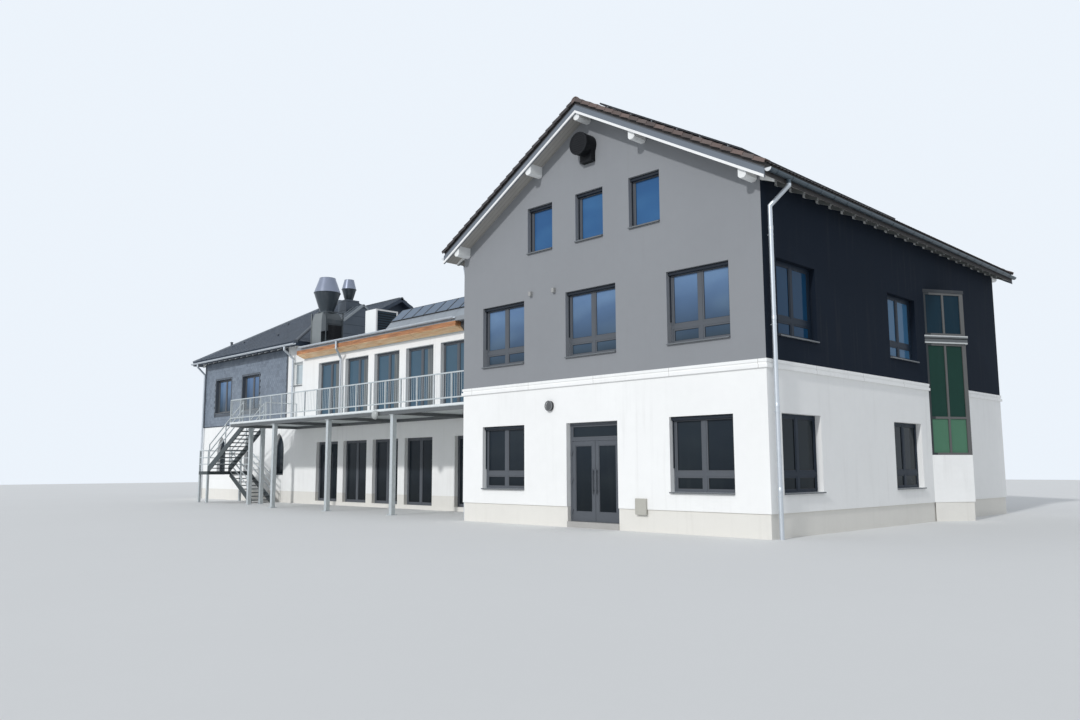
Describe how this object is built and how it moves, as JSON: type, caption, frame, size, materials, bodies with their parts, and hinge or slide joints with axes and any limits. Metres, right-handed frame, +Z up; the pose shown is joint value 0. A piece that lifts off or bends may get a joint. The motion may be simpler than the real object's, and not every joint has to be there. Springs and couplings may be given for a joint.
{
  "type": "railway station building",
  "caption": "Railway station building with a gabled main block, a flat-roofed wing with a gallery and outside stair, and a hipped end block clad in slate.",
  "frame": {"origin": "on the ground, in the middle of the main block's footprint", "axes": "+X runs along the platform side towards the main block's free side, +Y away from the platform, +Z up"},
  "size_m": [37.5303, 15.79, 11.1405],
  "materials": {
    "band_stone": "painted, matte",
    "black_metal": "satin black",
    "concrete": "screeded concrete",
    "dark_steel": "dark grey paint",
    "duct_metal": "dark grey sheet metal, satin",
    "eaves_wood": "clear stained softwood boards",
    "galvanised": "hot-dip galvanised",
    "grey_render": "smooth painted render, matte",
    "painted_boards": "painted, satin",
    "roof_membrane": "roofing membrane, matte",
    "roof_tile": "interlocking tiles, matte",
    "slate": "natural slate, satin",
    "solar_cell": "dark blue cells under glass",
    "white_metal": "white sheet metal, satin",
    "white_render": "smooth painted render, matte",
    "window_frame": "anthracite powder coat",
    "window_glass": "clear double glazing",
    "zinc": "weathered zinc"
  },
  "bodies": {
    "building": {"end_cross_gable": "slate", "end_cross_roof": "slate", "end_front_wall": "slate", "end_left_wall": "slate", "end_rafter_ends": "painted_boards", "end_rear_wall": "slate", "end_right_wall": "slate", "end_roof": "slate", "gallery_and_stair_posts": "galvanised", "gallery_deck": "galvanised", "gallery_railing": "galvanised", "main_bargeboards": "painted_boards", "main_door_frame": "window_frame", "main_door_lintel": "white_render", "main_floors": "concrete", "main_front_gable": "grey_render", "main_front_wall_left": "white_render", "main_front_wall_right": "white_render", "main_left_wall": "grey_render", "main_rainwater": "zinc", "main_rear_wall": "grey_render", "main_right_wall": "grey_render", "main_roof_left": "roof_tile", "main_roof_right": "roof_tile", "main_roof_timbers": "painted_boards", "main_string_course": "band_stone", "main_window_frames": "window_frame", "main_window_glass": "window_glass", "roof_air_hood": "white_metal", "roof_duct": "duct_metal", "roof_duct_house": "duct_metal", "roof_hood_front": "duct_metal", "roof_hood_rear": "duct_metal", "solar_panels": "solar_cell", "stair_bay_frame": "window_frame", "stair_bay_glass": "window_glass", "stair_bay_shell": "white_render", "stair_landing": "dark_steel", "stair_lower_flight": "dark_steel", "stair_railing": "galvanised", "stair_upper_flight": "dark_steel", "wall_drum": "black_metal", "wall_fittings": "black_metal", "window_sills": "zinc", "wing_and_end_floors": "concrete", "wing_and_end_rainwater": "zinc", "wing_and_end_window_frames": "window_frame", "wing_and_end_window_glass": "window_glass", "wing_eaves_boards": "eaves_wood", "wing_front_wall": "white_render", "wing_parapet": "zinc", "wing_rear_wall": "white_render", "wing_roof": "roof_membrane"},
    "door_leaf_left": {"door_leaf_left": "window_frame", "door_glass_left": "window_glass"},
    "door_leaf_right": {"door_leaf_right": "window_frame", "door_glass_right": "window_glass"}
  },
  "joints": [
    {"name": "door_hinge_left", "type": "hinge", "parent": "building", "child": "door_leaf_left", "pos_m": [-0.807, -7.147, 1.18], "axis": [0, 0, -1], "range_deg": [0, 90]},
    {"name": "door_hinge_right", "type": "hinge", "parent": "building", "child": "door_leaf_right", "pos_m": [0.807, -7.147, 1.18], "axis": [0, 0, 1], "range_deg": [0, 90]}
  ]
}
